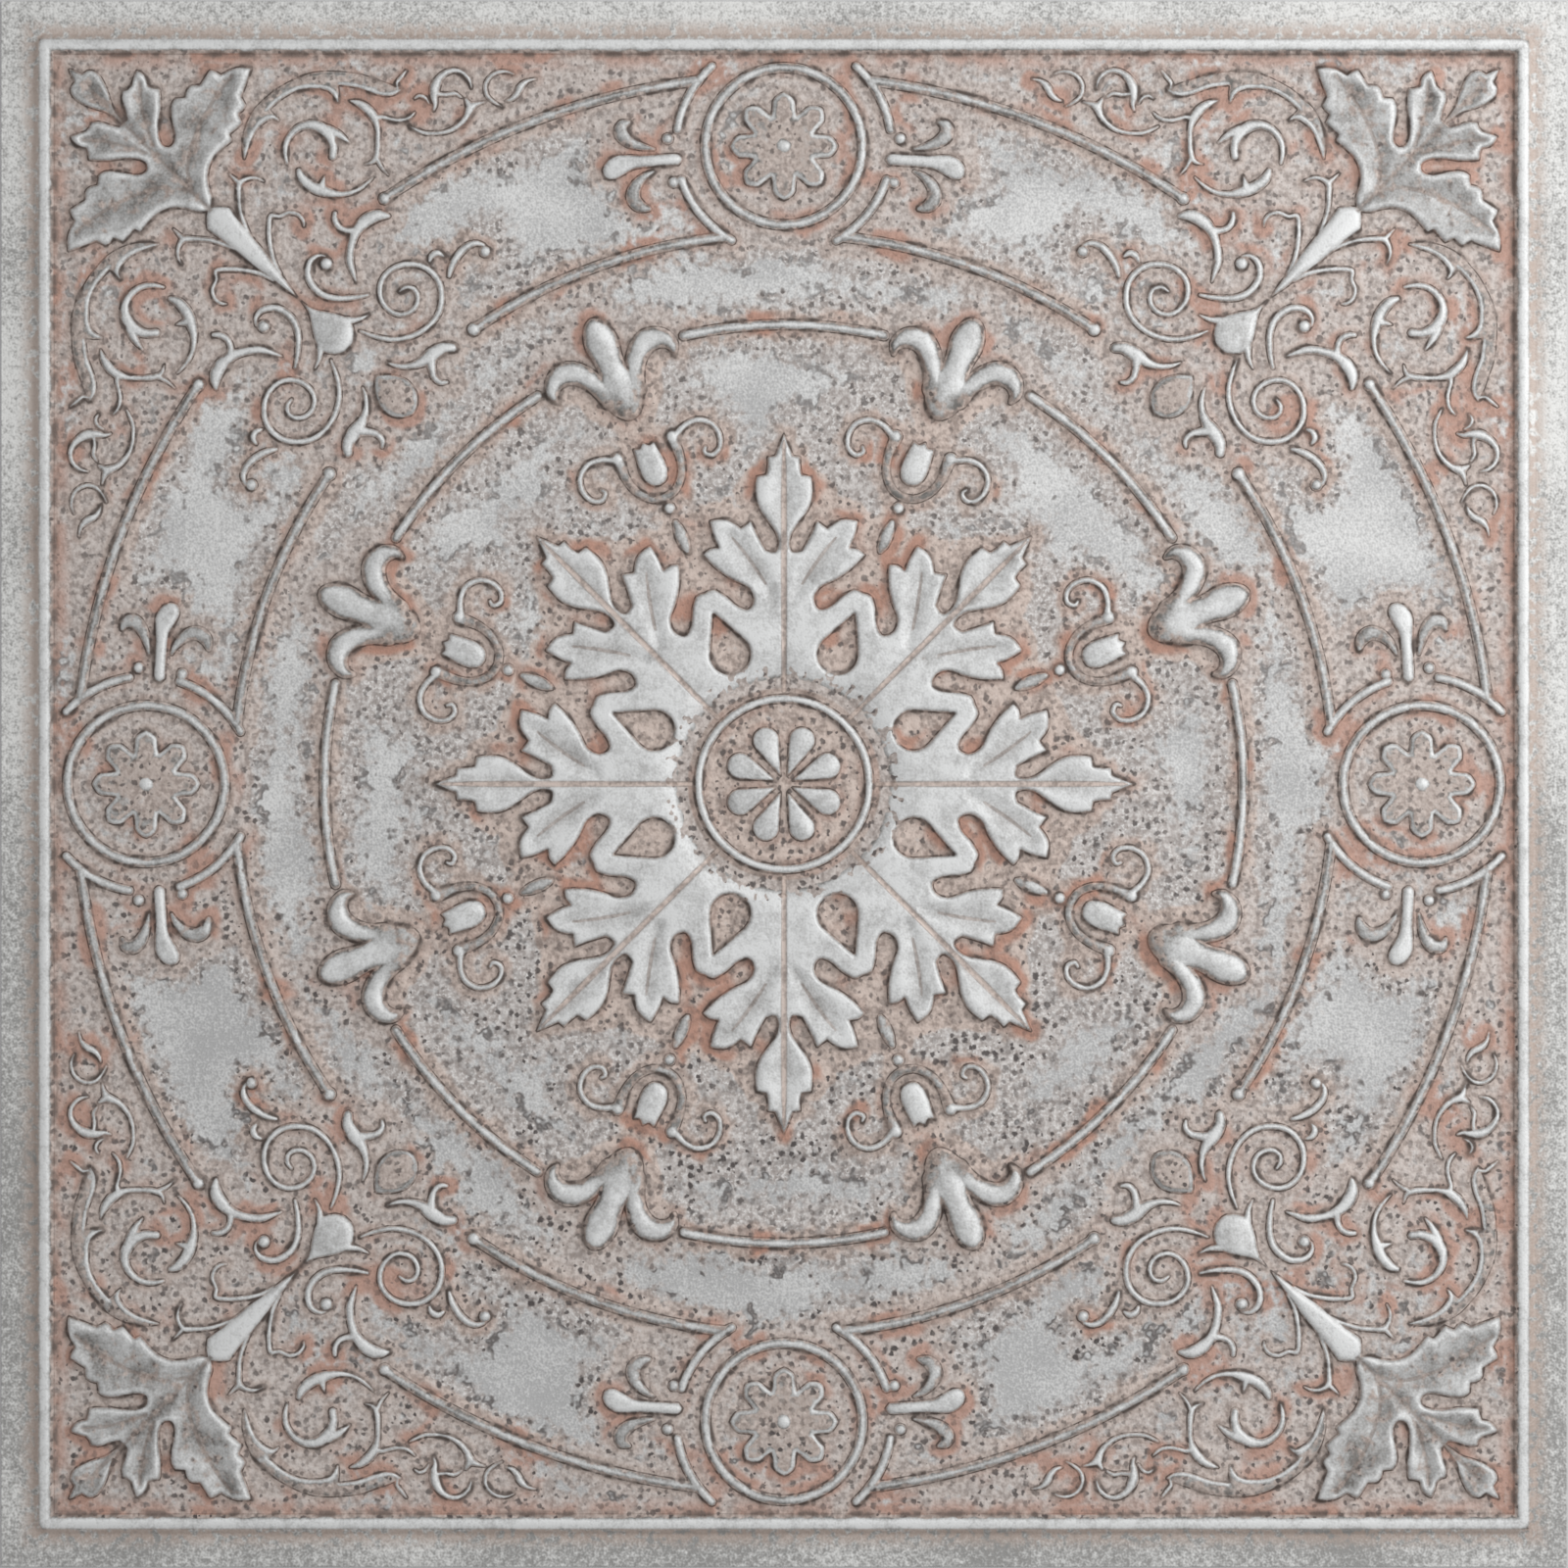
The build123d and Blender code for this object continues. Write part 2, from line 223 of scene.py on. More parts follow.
class Relief:
    """Samples of one quarter of the face: height over the flat sheet, depth into the ornament, finish."""

    def __init__(self):
        axis = np.linspace(0, HALF, round(HALF / CELL) + 1)
        self.step = axis[1]
        self.x, self.y = np.meshgrid(axis, axis)
        self.height = np.zeros_like(self.x)
        self.edge = np.full_like(self.x, -FAR)  # millimetres inside the nearest outline, negative outside
        self.tone = np.zeros_like(self.x)  # how bright the silver is
        self.vein = np.zeros_like(self.x)  # 1 on the line of a vein
        self.fade = np.zeros_like(self.x)  # share of the brightness that a smudge takes
        self.cut = np.zeros_like(self.x)  # depth of the veins
        # Places on the tile, and the two folded frames of the middle: along a leaf, along a tulip.
        self.radius = np.hypot(self.x, self.y)
        turn = np.degrees(np.arctan2(self.y, self.x))
        fold = np.radians(np.abs((turn + 22.5) % 45 - 22.5))
        self.tile = (self.x, self.y)
        self.leaf = (self.radius * np.cos(fold), self.radius * np.sin(fold))
        between = radians(22.5) - fold
        self.tulip = (self.radius * np.cos(between), self.radius * np.sin(between))

    def near(self, place, points, margin):
        """Samples within a margin of the points' box."""
        low, high = points[:, :2].min(0) - margin, points[:, :2].max(0) + margin
        x, y = place
        return np.nonzero((x > low[0]) & (x < high[0]) & (y > low[1]) & (y < high[1]))

    def lay(self, where, edge, height, tone):
        """Keep the higher of two forms, and its finish."""
        self.edge[where] = np.maximum(self.edge[where], edge)
        above = height > self.height[where]
        self.tone[where] = np.where(above, tone, self.tone[where])
        self.height[where] = np.maximum(height, self.height[where])

    def stroke(self, place, points, rise=2.4, tone=0.95, flank=0.0):
        """Half-round rib along a smooth line of (x, y, half width), lower where thin, with bare flanks."""
        line = smooth(points)
        where = self.near(place, line, FAR)
        x, y = place[0][where], place[1][where]
        edge, height, rubbed = np.full(x.shape, -FAR), np.zeros(x.shape), np.zeros(x.shape)
        for a, b in zip(line[:-1], line[1:]):
            away, wide = distance(x, y, a, b)
            edge = np.maximum(edge, wide - away)
            crest = rise * (1 - np.exp(-wide / 1.1))
            height = np.maximum(height, crest * np.sqrt(np.clip(1 - (away / wide) ** 2, 0, 1)))
            rubbed = np.maximum(rubbed, 1 - away / wide)
        rubbed = np.maximum(rubbed - flank, (edge - flank) / 2.2)
        self.lay(where, edge, height, tone * ease(0.05, 0.6, rubbed))

    def ball(self, place, centre, radius, rise=2.6):
        """Round boss."""
        x, y = centre
        self.stroke(place, [(x - 0.05, y, radius), (x + 0.05, y, radius)], rise)

    def arc(self, centre, radius, first, last, half=RIB, rise=RIB, tone=0.95, flank=0.0):
        """Half-round rib along a circle, from one angle to another, round at its ends, with bare flanks."""
        x, y = self.x - centre[0], self.y - centre[1]
        along = (np.degrees(np.arctan2(y, x)) - first) % 360 <= last - first
        ends = [radius * np.array([cos(radians(a)), sin(radians(a))]) for a in (first, last)]
        from_end = np.minimum(*[np.hypot(x - end[0], y - end[1]) for end in ends])
        away = np.where(along, np.abs(np.hypot(x, y) - radius), from_end)
        edge = np.maximum(half - away, -FAR)
        height = rise * np.sqrt(np.clip(1 - (away / half) ** 2, 0, 1))
        self.lay(slice(None), edge, height, tone * ease(flank, flank + 1.1, edge))

    def patch(
        self, place, shape, rise, rounding=1.6, tone=0.8, rim=0.95, rim_width=3.4, limit=None, swell=1.0
    ):
        """Form over a closed outline, with rounded shoulders and a worn rim."""
        where = self.near(place, shape, FAR)
        edge = depth_inside(place[0][where], place[1][where], shape)
        if limit is not None:
            edge = np.minimum(edge, limit[where])
            swell = swell[where]
        shoulder = 1 - np.clip(edge / rounding, 0, 1)
        height = rise * swell * np.sqrt(1 - shoulder**2)
        worn = rim + (tone - rim) * ease(0.35 * rim_width, rim_width, edge)
        self.lay(where, edge, height, worn * ease(0.0, 0.7, edge))

    def groove(self, place, points, depth=0.8, line_share=1.0, fade=0.0):
        """Valley pressed into a form along a line of (x, y, half width): a painted line or a smudge."""
        line = smooth(points)
        where = self.near(place, line, line[:, 2].max())
        x, y = place[0][where], place[1][where]
        middle = np.zeros(x.shape)
        for a, b in zip(line[:-1], line[1:]):
            away, wide = distance(x, y, a, b)
            middle = np.maximum(middle, 1 - away / wide)
        self.vein[where] = np.maximum(self.vein[where], line_share * ease(0.05, 0.5, middle))
        self.fade[where] = np.maximum(self.fade[where], fade * ease(0.0, 1.0, middle))
        self.cut[where] = np.maximum(self.cut[where], depth * middle)

    def finish(self):
        """Mirror the quarter in its diagonal, press the veins and soften it all like formed sheet."""
        self.tone = np.where(self.height.T > self.height, self.tone.T, self.tone)
        for name in ("height", "edge", "vein", "fade", "cut"):
            field = getattr(self, name)
            setattr(self, name, np.maximum(field, field.T))
        self.crowd = softened(self.edge > 0, CROWD)
        pressed = self.height - np.minimum(self.cut, DEEPEST_CUT * self.height)
        self.height = softened(pressed, FACE_SOFTNESS)
        self.tone = softened(self.tone * (1 - self.fade), TONE_SOFTNESS)

    def read(self, field, x, y):
        """A field between its samples."""
        u, v = (np.clip(a / self.step, 0, len(field) - 1.001) for a in (x, y))
        i, j = u.astype(int), v.astype(int)
        u, v = u - i, v - j
        low = field[j, i] * (1 - u) + field[j, i + 1] * u
        high = field[j + 1, i] * (1 - u) + field[j + 1, i + 1] * u
        return low * (1 - v) + high * v


# Motifs


def border(relief):
    """Bead around the field, rounded outside and square inside."""
    outer = BEAD_AT + BEAD
    across = np.maximum(relief.x, relief.y)
    corner = outer - BEAD_CORNER
    around = np.hypot(np.clip(relief.x - corner, 0, None), np.clip(relief.y - corner, 0, None))
    outside = np.where(across < corner, outer - across, BEAD_CORNER - around)
    edge = np.minimum(outside, across - BEAD_AT + BEAD)
    height = BEAD_RISE * np.sqrt(1 - (1 - np.clip(edge / BEAD, 0, 1)) ** 2)
    relief.lay(slice(None), np.maximum(edge, -FAR), height, 0.95 * ease(0.8, 2.4, edge))


def rings(relief):
    """The two rings between medallions and corners, and the inner ring between the crowns."""
    stop = 90 - RING_STOP
    for ring, knob in ((OUTER_RING, 2.4), (MIDDLE_RING, 2.6)):
        # The angle at which the ring meets the arcs about the medallion
        meet = np.degrees(np.arccos((ring**2 + MEDALLION[1] ** 2 - BRACKET**2) / (2 * ring * MEDALLION[1])))
        relief.arc((0, 0), ring, stop, 90 - meet, tone=0.75, flank=0.7)
        relief.ball(relief.tile, (ring * cos(radians(stop)), ring * sin(radians(stop))), knob)
    for middle in (45, 90):
        relief.arc((0, 0), INNER_RING, middle - INNER_HALF_SPAN, middle + INNER_HALF_SPAN, flank=0.6)


def medallion(relief):
    """Ringed flower on the upper axis, the arcs that frame it, and the fleur beside it."""
    place = relief.tile
    relief.arc(MEDALLION, MEDALLION_RING, 0, 360, half=1.9, tone=0.85, flank=0.55)
    half = outline((20.9, 0), [(19.7, 2.4), (17.7, 4.2), (15.2, 4.5), (13.2, 4.6), (12, 5)], [(8, 4)])
    lobes = [turned(closed_in_axis(half), 45 * k) for k in range(8)]
    for shape in (*lobes, turned([(12.7, 0)] * 48, np.arange(48) * 7.5)):
        relief.patch(place, shape + MEDALLION, rise=1.7, tone=0.0, rim=1.0, rim_width=2.1)
    relief.ball(place, MEDALLION, 3.2, rise=2.8)
    for first, last, tip in ((9, 48, (44.8, 248.6)), (-61, -18, (42.4, 231.8))):
        relief.arc(MEDALLION, BRACKET, first, last, half=1.7, rise=1.8, tone=0.85)
        relief.ball(place, tip, 2.2, rise=1.8)
    lobe = outline(
        (39.0, 240.5),
        [(40.5, 242.6), (47, 242.6), (55, 242.1), (61, 242.4), (65, 242), (68.5, 239.6), (70, 236.6)],
        [(69, 233.6), (66, 232.7), (62, 234.5), (58, 236.8), (53, 237.6), (46, 238.1), (40.5, 238.4)],
    )
    relief.patch(place, lobe, rise=2.4, rounding=2.4, tone=0.8)
    for points in (
        [(50, 244.6, 0.6), (55, 245.6, 1.5), (60, 247.6, 2.3)]
        + [(62.8, 250.6, 2.7), (62.4, 253.6, 2.2), (59.6, 255, 0.8)],
        [(50, 236, 0.6), (54, 233.8, 1.5), (57.3, 230, 2.3)]
        + [(58.2, 226, 2.7), (56, 222.8, 2.4), (52, 221.6, 1)],
    ):
        relief.stroke(place, points, rise=2.2, tone=0.5)


# One half of a leaf, from its tip: along the leaf, then out from its midrib
LEAF_TIP = (135.0, 0.0)
HALF_LEAF = [
    [(131.4, 1.5), (128.2, 2.8), (126.4, 3.4)],
    [(126.1, 6.4)],
    [(122.5, 6.3), (119.2, 6.9)],
    [(118.6, 10.6)],
    [(114.5, 11.2), (110.0, 11.0), (105.0, 9.0), (100.3, 5.6)]
    + [(96.4, 3.0), (92.6, 2.2), (89.6, 3.2), (90.0, 7.0)],
    [(96.0, 10.2), (101.6, 12.7)],
    [(98.5, 16.6)],
    [(102.0, 22.2), (101.4, 28.7)],
    [(95.2, 27.2), (91.0, 25.2)],
    [(90.6, 28.6), (88.3, 31.4)],
    [(83.0, 26.3), (78.8, 20.2), (75.5, 13.8), (71.1, 11.7)]
    + [(67.4, 13.6), (68.4, 17.6), (72.6, 22.6), (75.0, 26.8)],
    [(74.6, 28.8), (73.6, 30.485)],
]


def rosette(relief):
    """Ring and flower in the middle, and the eight leaves around them."""
    relief.arc((0, 0), CENTRE_RING, 0, 360, half=1.6, rise=1.8)
    for k in range(8):
        flower_petal = turned(petal(3.0, 18.2, 5.1), 22.5 + 45 * k)
        relief.patch(relief.tile, flower_petal, rise=1.9, tone=0.6, rim_width=1.8)
    half = outline(LEAF_TIP, *HALF_LEAF)
    leaf = np.concatenate([half[::-1] * (1, -1), half[1:]])
    shape = np.concatenate([*[turned(leaf, angle) for angle in (-45, 0, 45)], [(0, 20), (0, -20)]])
    opening = petal(DROP_TIP, DROP_AT, DROP_RADIUS)
    limit = np.minimum(-depth_inside(*relief.tulip, opening), 0.3 * (relief.radius - PLATE_BARE))
    swell = ease(PLATE_FROM, PLATE_TO, relief.radius)
    relief.patch(relief.leaf, shape, rise=3.0, tone=0.86, rim=0.93, limit=limit, swell=swell)
    midrib = [(36, 0, 1.2), (90, 0, 1.5), (120, 0, 1.3), (132, 0, 0.5)]
    relief.groove(relief.leaf, midrib, depth=0.7)
    tip_hollow = [(100, 0, 3.0), (112, 0, 7.0), (124, 0, 4.0)]
    relief.groove(relief.leaf, tip_hollow, depth=1.0, line_share=0, fade=0.15)
    lobe_hollow = [(72, 4, 3.0), (84, 12, 6.5), (96, 21, 6.0)]
    relief.groove(relief.leaf, lobe_hollow, depth=1.2, line_share=0, fade=0.2)
    lobe_vein = [(77, 7, 0.6), (86, 13, 0.9), (95, 20, 0.5)]
    relief.groove(relief.leaf, lobe_vein, depth=0.5, line_share=0.6)


def tulip(relief):
    """Tulip between two leaves: bud, ball, cup, bulb and scroll, along the tulip and out from its axis."""
    place = relief.tulip
    bud = [(97, 0, 1.0), (100, 0, 2.2), (105, 0, 2.3), (109, 0, 1.2)]
    relief.stroke(place, bud, rise=1.6, tone=0.55)
    relief.ball(place, (115, 0), 2.3, rise=1.6)
    cup = [(119.6, -1.0, 1.5), (119.6, 1.0, 1.5), (120.8, 4.9, 1.5), (125.5, 9.3, 1.5), (131.5, 11.2, 1.6)]
    relief.stroke(place, [*cup, (138.5, 11.2, 2.2)], rise=1.9, tone=0.22)
    relief.ball(place, (140.2, 11.4), 2.5, rise=2.2)
    bulb = outline(
        (124.6, 0),
        [(125.5, 3.0), (129, 5.0), (133.5, 5.2), (138, 4.7), (141.6, 4.4)],
        [(140.6, 2.0), (142.6, 0)],
    )
    relief.patch(place, closed_in_axis(bulb), rise=2.8, rounding=3.0, tone=0.75)
    scroll = [
        (140.3, 13.2, 1.4), (142.3, 17.5, 1.2), (142.4, 23, 1.2), (138.7, 27.6, 1.1), (133.3, 28.5, 1.1),
        (128.9, 26.4, 1.0), (127.7, 22.8, 1.0), (129.9, 20.6, 0.9), (131.6, 21.8, 0.7),
    ]
    relief.stroke(place, scroll, rise=2.0, tone=0.9)


def crown(relief):
    """Crown in a gap of the inner ring: a tongue between two curled lobes."""
    tongue = [
        (157, 0, 5.0), (161, 0, 7.4), (166, 0, 7.4), (172, 0, 5.6),
        (178, 0, 5.7), (184, 0, 6.6), (188.5, 0, 5.2), (191.5, 0, 2.6),
    ]
    curl = [
        (162.5, 5.5, 3.8), (168.5, 7.6, 3.6), (174.5, 11.2, 4.2), (178, 16.5, 4.6),
        (177, 22, 3.8), (173, 25, 2.4), (169.2, 24.4, 0.9),
    ]
    relief.stroke(relief.tulip, tongue, rise=4.7, tone=0.85, flank=0.9)
    relief.stroke(relief.tulip, curl, rise=4.2, tone=0.85, flank=0.7)
    smudge = [(156, 0, 7.0), (162, 7, 6.0), (168, 12, 4.0), (172, 18, 3.5), (172, 22, 2.0)]
    relief.groove(relief.tulip, smudge, depth=0.0, line_share=0, fade=0.8)


def palmette(relief):
    """Lobed leaf in the corner, with its veins, and the small leaf at its tip."""
    place = relief.tile
    half = outline(
        (221.0, 221.0),
        [(220.2, 225.6), (221.5, 230.3), (221.9, 234.4), (221.2, 238)]
        + [(219.6, 241.2), (217, 244), (212.4, 247.8)],
        [(213.6, 250.3)],
        [(211, 252.3), (208.6, 254.6)],
        [(210.2, 258.2)],
        [(208.4, 259.5), (207.2, 261.4)],
        [(209.1, 264.8)],
        [(207.4, 269), (205.0, 275.8)],
        [(209.4, 276.2), (212.8, 275.4), (217.0, 273.2)],
        [(219.0, 274.6), (221.2, 275.2)],
        [(223.4, 271.8), (225.0, 269.2)],
        [(228.6, 269), (230.2, 267), (230.7, 264.5)],
        [(234.6, 264.2)],
        [(236.1, 261.5), (236.2, 257.5), (235.3, 253), (234.8, 249.5), (235.3, 246.8), (237, 245.4)]
        + [(239.2, 246), (240.5, 248.4), (240.9, 252), (240.6, 256.5), (239.9, 261), (240.4, 267.9)],
        [(243, 268.2), (245, 268.8)],
        [(245.5, 271.8), (247.3, 274), (249.5, 275)],
        [(250.8, 271.5), (251.4, 269)],
        [(253.4, 267.4), (254.9, 267.2)],
        [(255.2, 263.5), (253.8, 259.5), (253.2, 256)],
        [(254.6, 254.6)],
    )
    relief.patch(place, closed_in_diagonal(half), rise=3.4, rounding=2.2, tone=0.48, rim=0.9)
    tip = outline(
        (253.0, 253.0),
        [(256.2, 257.4), (258.8, 261.2), (260.1, 265.6), (261.8, 270)]
        + [(264.4, 273.8), (267.6, 275), (270.4, 273.4)],
        [(273.6, 275), (275.6, 275.6)],
    )
    relief.patch(place, closed_in_diagonal(tip), rise=2.2, tone=0.3, rim=0.75, rim_width=2.4)
    for points in (
        [(221, 221, 1.0), (236, 236, 5.0), (252, 252, 5.0), (268, 268, 3.0)],
        [(228, 229, 4.0), (229.8, 238, 7.5), (225.6, 252.6, 9.0), (219, 264.4, 7.0), (212.5, 273, 2.0)],
        [(243, 246, 2.0), (247.2, 259.8, 5.0), (248.2, 270, 2.0)],
    ):
        relief.groove(place, points, depth=2.4, line_share=0, fade=0.4)
        relief.groove(place, [(x, y, 0.9) for x, y, half in points], depth=0.5, line_share=0.5)


def stem(relief):
    """Bright stem on the diagonal, the shield below it and the bud between the darts."""
    blade = outline(
        (187.5, 187.5),
        [(191.5, 193.6), (195.6, 198.6), (199.6, 204.6), (204.2, 210.2), (208.8, 215.6)],
        [(213.6, 222.2)],
        [(218.2, 222.6), (221.8, 221.8)],
    )
    relief.patch(relief.tile, closed_in_diagonal(blade), rise=2.8, rounding=2.6, tone=1.0, rim=1.0)
    shield = outline(
        (186.5, 186.5),
        [(181.5, 183.2), (174, 181.6), (168.8, 179.8), (166.2, 176.8)]
        + [(165.5, 172.8), (166.3, 169.4), (167.8, 167.8)],
    )
    relief.patch(relief.tile, closed_in_diagonal(shield), rise=2.6, rounding=3.4, tone=0.62, rim=0.9)
    relief.stroke(relief.tile, [(168.5, 178.6, 1.6), (164, 179, 1.0), (160, 180.8, 0.4)])
    bud = outline(
        (157.5, 157.5),
        [(151, 157.6), (145, 155.6), (141.4, 150.6), (141.3, 145.6), (142.6, 142.6)],
    )
    shape = closed_in_diagonal(bud)
    relief.patch(relief.tile, shape, rise=2.2, rounding=3.4, tone=0.0, rim=0.7, rim_width=1.8)


# Strokes of the corner above the diagonal, as (x, y, half width)
TENDRILS = [
    # spiral
    [(163.5, 174.6, 0.5), (157.5, 172.4, 0.9), (152, 171.3, 1), (147, 171.6, 1.1), (141, 173.6, 1.1)]
    + [(136, 177.2, 1.1), (132.8, 182, 1.2), (131.8, 188, 1.2), (133, 193.6, 1.2), (136.4, 197.8, 1.2)]
    + [(141, 200, 1.2), (146, 200.2, 1.2), (151, 198.4, 1.1), (154.4, 195, 1.1), (155.7, 190.8, 1.1)]
    + [(154.9, 186.2, 1.1), (152, 182.4, 1), (148, 180.8, 1), (144, 181.8, 1), (141.5, 184.6, 1)]
    + [(141, 188, 1), (142.6, 190.8, 0.9), (145.6, 191.4, 0.9), (148.2, 189.6, 0.6)],
    # dart beside the middle ring, and its hook
    [(127.5, 168, 1.8), (131, 168, 2.3), (135.5, 165.5, 2.8), (139.5, 162.6, 2), (144, 161, 1.3)]
    + [(148.5, 161, 1), (153, 162.4, 0.4)],
    [(136, 164, 2.2), (135.6, 160, 1.5), (134.8, 156.8, 1.3), (132.5, 154.7, 1.1), (129.8, 154.8, 0.7)],
    # dart beside the outer ring, and its hook
    [(152.4, 218.8, 0.9), (157, 219, 2.4), (161.5, 216.7, 2.6), (165, 212.4, 1.9), (166.8, 207, 1.6)]
    + [(167.3, 201.5, 1.6), (166, 197, 1), (164.8, 193.4, 0.4)],
    [(165, 213.2, 1.6), (168.5, 213.2, 1.2), (171.5, 214.6, 1.2), (173, 217.4, 1.2), (173, 220, 0.9)],
    # two curls towards the open field
    [(129, 195.6, 0.8), (128, 199.4, 1.3), (125.4, 204, 1.5), (122, 207.2, 1.4), (118.6, 208.4, 1.1)]
    + [(115.6, 207.6, 0.7)],
    [(131, 203.2, 0.6), (133.4, 204.6, 1.3), (135.8, 203.4, 1.2), (136.6, 201.2, 0.6)],
    # curl under the stem
    [(160.3, 188.4, 0.7), (167, 187.2, 1.1), (173.5, 187.2, 1.3), (178.6, 189, 1.4), (182.2, 192.8, 1.4)]
    + [(183.5, 197, 1.4), (182.3, 201.5, 1.2), (179.3, 203.6, 0.8), (176.5, 203.3, 0.5)],
]
FOLIAGE = [
    # rims of the arching leaf
    [(145.4, 275, 0.4), (147.4, 272.4, 0.8), (149.2, 270, 0.7), (148.6, 268, 0.5)],
    [(147.6, 267.5, 0.4), (150.7, 266, 0.8), (153.7, 265.8, 0.9), (157.3, 266.6, 0.9), (161, 268, 0.9)]
    + [(164.6, 269.1, 0.8), (168.3, 269.6, 0.8), (172, 269.8, 0.4)],
    [(171.9, 262.6, 0.4), (172.8, 265.6, 1), (174.6, 267.5, 1), (177.8, 268.6, 0.9), (182.2, 268.8, 0.9)]
    + [(186.6, 268.2, 0.9), (191, 266.5, 0.9), (194.7, 264.1, 0.9), (198.6, 260.6, 0.8), (202, 256.6, 0.5)],
    [(194.7, 255.6, 0.4), (197, 257.1, 0.9), (199.8, 256.4, 1.2), (202.8, 253.9, 1.1), (205, 250.5, 0.9)]
    + [(206.6, 246.2, 0.8), (208, 241, 0.4)],
    # upper crescent and its spur
    [(173.8, 241.8, 1.6), (173.6, 246, 1.7), (175.5, 250.4, 2.2), (179.5, 253.4, 2.2), (184, 253.9, 1.7)]
    + [(188.3, 251.9, 1.4), (191.3, 248, 1.2), (192.2, 244, 1.1), (191.4, 239, 0.6)],
    [(175.5, 252, 1.9), (171.5, 250.2, 1.5), (167.3, 247, 0.4)],
    # lower crescent and its spike
    [(186.9, 236.3, 1.1), (185.6, 233.3, 1.9), (182, 230.2, 2.2), (177.5, 228.4, 2.2), (172, 227.2, 1.3)]
    + [(166.5, 227.9, 0.9), (162, 230.3, 0.8), (158.2, 233.8, 0.4)],
    [(178, 230, 1.6), (177, 234.3, 0.3)],
    # upright vine with its barbs
    [(161.6, 238.7, 0.3), (158, 240, 0.9), (156.7, 243, 1.2), (156.4, 248, 1), (156.6, 253, 1.1)]
    + [(158, 257, 1.8), (160.5, 260, 1.9), (164, 262.3, 1.3), (167.4, 263.3, 0.3)],
    [(156.5, 240.5, 0.9), (155, 237.5, 0.7), (152.3, 234.5, 0.3)],
    [(157, 256.5, 1.2), (155, 257, 0.9), (152.5, 256.4, 0.8), (149.5, 255.7, 0.8), (146, 256, 0.8)]
    + [(143.7, 257.2, 0.7), (142.2, 258.8, 0.4)],
    # small scroll
    [(115.2, 262.7, 0.4), (118.3, 262, 0.9), (120.8, 260.5, 1.7), (122, 257.5, 1.3), (124.7, 254.2, 1.1)]
    + [(128.5, 251.8, 0.9), (133, 250.7, 0.8), (138.5, 250.8, 0.8), (142, 252.2, 0.7), (144.4, 253.4, 0.4)],
    [(121, 261, 1.5), (122.6, 263.9, 0.6)],
    [(120.4, 268, 0.4), (121.3, 271.5, 0.8), (123.7, 274, 0.9), (127, 275, 1), (130.3, 274, 1.2)]
    + [(133, 271.5, 1.6), (134.6, 268, 2), (134.8, 264.5, 1.4), (134.3, 261.8, 0.9), (135, 259.4, 0.5)],
    [(124.4, 264.6, 0.5), (127, 266.1, 0.8), (130, 265.6, 0.8), (133, 265.8, 0.8)],
    [(136.6, 262, 0.4), (138.4, 264.6, 0.7), (140.6, 265.2, 0.7), (142.4, 264, 0.4)],
    # smallest scroll
    [(95.4, 271.6, 0.4), (99, 270.8, 0.8), (101.5, 268.5, 1.5), (102.8, 265.8, 1.3), (105, 263.8, 0.9)]
    + [(107.2, 263.2, 0.4)],
    [(104, 273.4, 0.4), (108, 274.6, 0.7), (112.4, 273.2, 0.8), (115, 269.4, 0.8), (114.4, 265.2, 0.8)]
    + [(111, 262.2, 0.6), (108.4, 261, 0.4)],
    # side leaves of the stem
    [(193.8, 196.5, 0.6), (196.5, 201.5, 0.9), (198, 208, 1), (198.4, 214, 1), (197.6, 219, 0.9)]
    + [(194.5, 218.6, 0.8), (190.5, 220.2, 0.8), (187, 219.3, 0.8), (185.1, 216.8, 0.7), (185, 214.8, 0.4)],
    [(204.5, 209, 0.5), (207.5, 215, 0.8), (209.5, 221, 0.9), (210, 227, 1), (209.8, 231.2, 1.2)]
    + [(207.5, 233, 0.9), (204, 233.6, 0.7), (200.4, 232.2, 0.4)],
    [(209.8, 231.4, 1), (211.6, 233, 0.8), (214, 235.4, 0.3)],
]


def scrolls(relief):
    """Spirals, darts, crescents and small leaves of the corner."""
    arching = outline(
        (147.6, 267.6),
        [(150.7, 265.9), (153.7, 265.6), (157.3, 266.3), (161, 267.7)]
        + [(164.6, 268.9), (168.3, 269.4), (172, 269.5)],
        [(171.4, 266), (171.9, 262.6)],
        [(172.9, 265.6), (174.6, 267.3), (177.8, 268.3), (182.2, 268.4), (186.6, 267.8), (191, 266.1)]
        + [(194.7, 263.7), (198.6, 260.2)],
        [(196.6, 258), (194.7, 255.6)],
        [(197, 256.8), (199.8, 256), (202.8, 253.5), (205, 250.2), (206.6, 246), (208, 241)],
        [(208.8, 246), (207.8, 252), (205.6, 257.5), (203.4, 260.8), (199.8, 264.2), (195.4, 267.7)]
        + [(190.3, 270.6), (184.4, 273.2), (179, 274.4), (172, 274.4)]
        + [(163.2, 273.4), (157.3, 271.4), (152.4, 269.8)],
    )
    relief.patch(relief.tile, arching, rise=1.5, rounding=4.5, tone=0.0, rim=0.1)
    for points in TENDRILS + FOLIAGE:
        relief.stroke(relief.tile, points)
    relief.ball(relief.tile, (115.2, 205.1), 2.3, rise=2.2)
    relief.ball(relief.tile, (176.3, 200.4), 2.5, rise=2.4)


def draw():
    """The whole relief of one quarter."""
    relief = Relief()
    for motif in (border, rings, medallion, rosette, tulip, crown, palmette, stem, scrolls):
        motif(relief)
    relief.finish()
    return relief


# Mesh


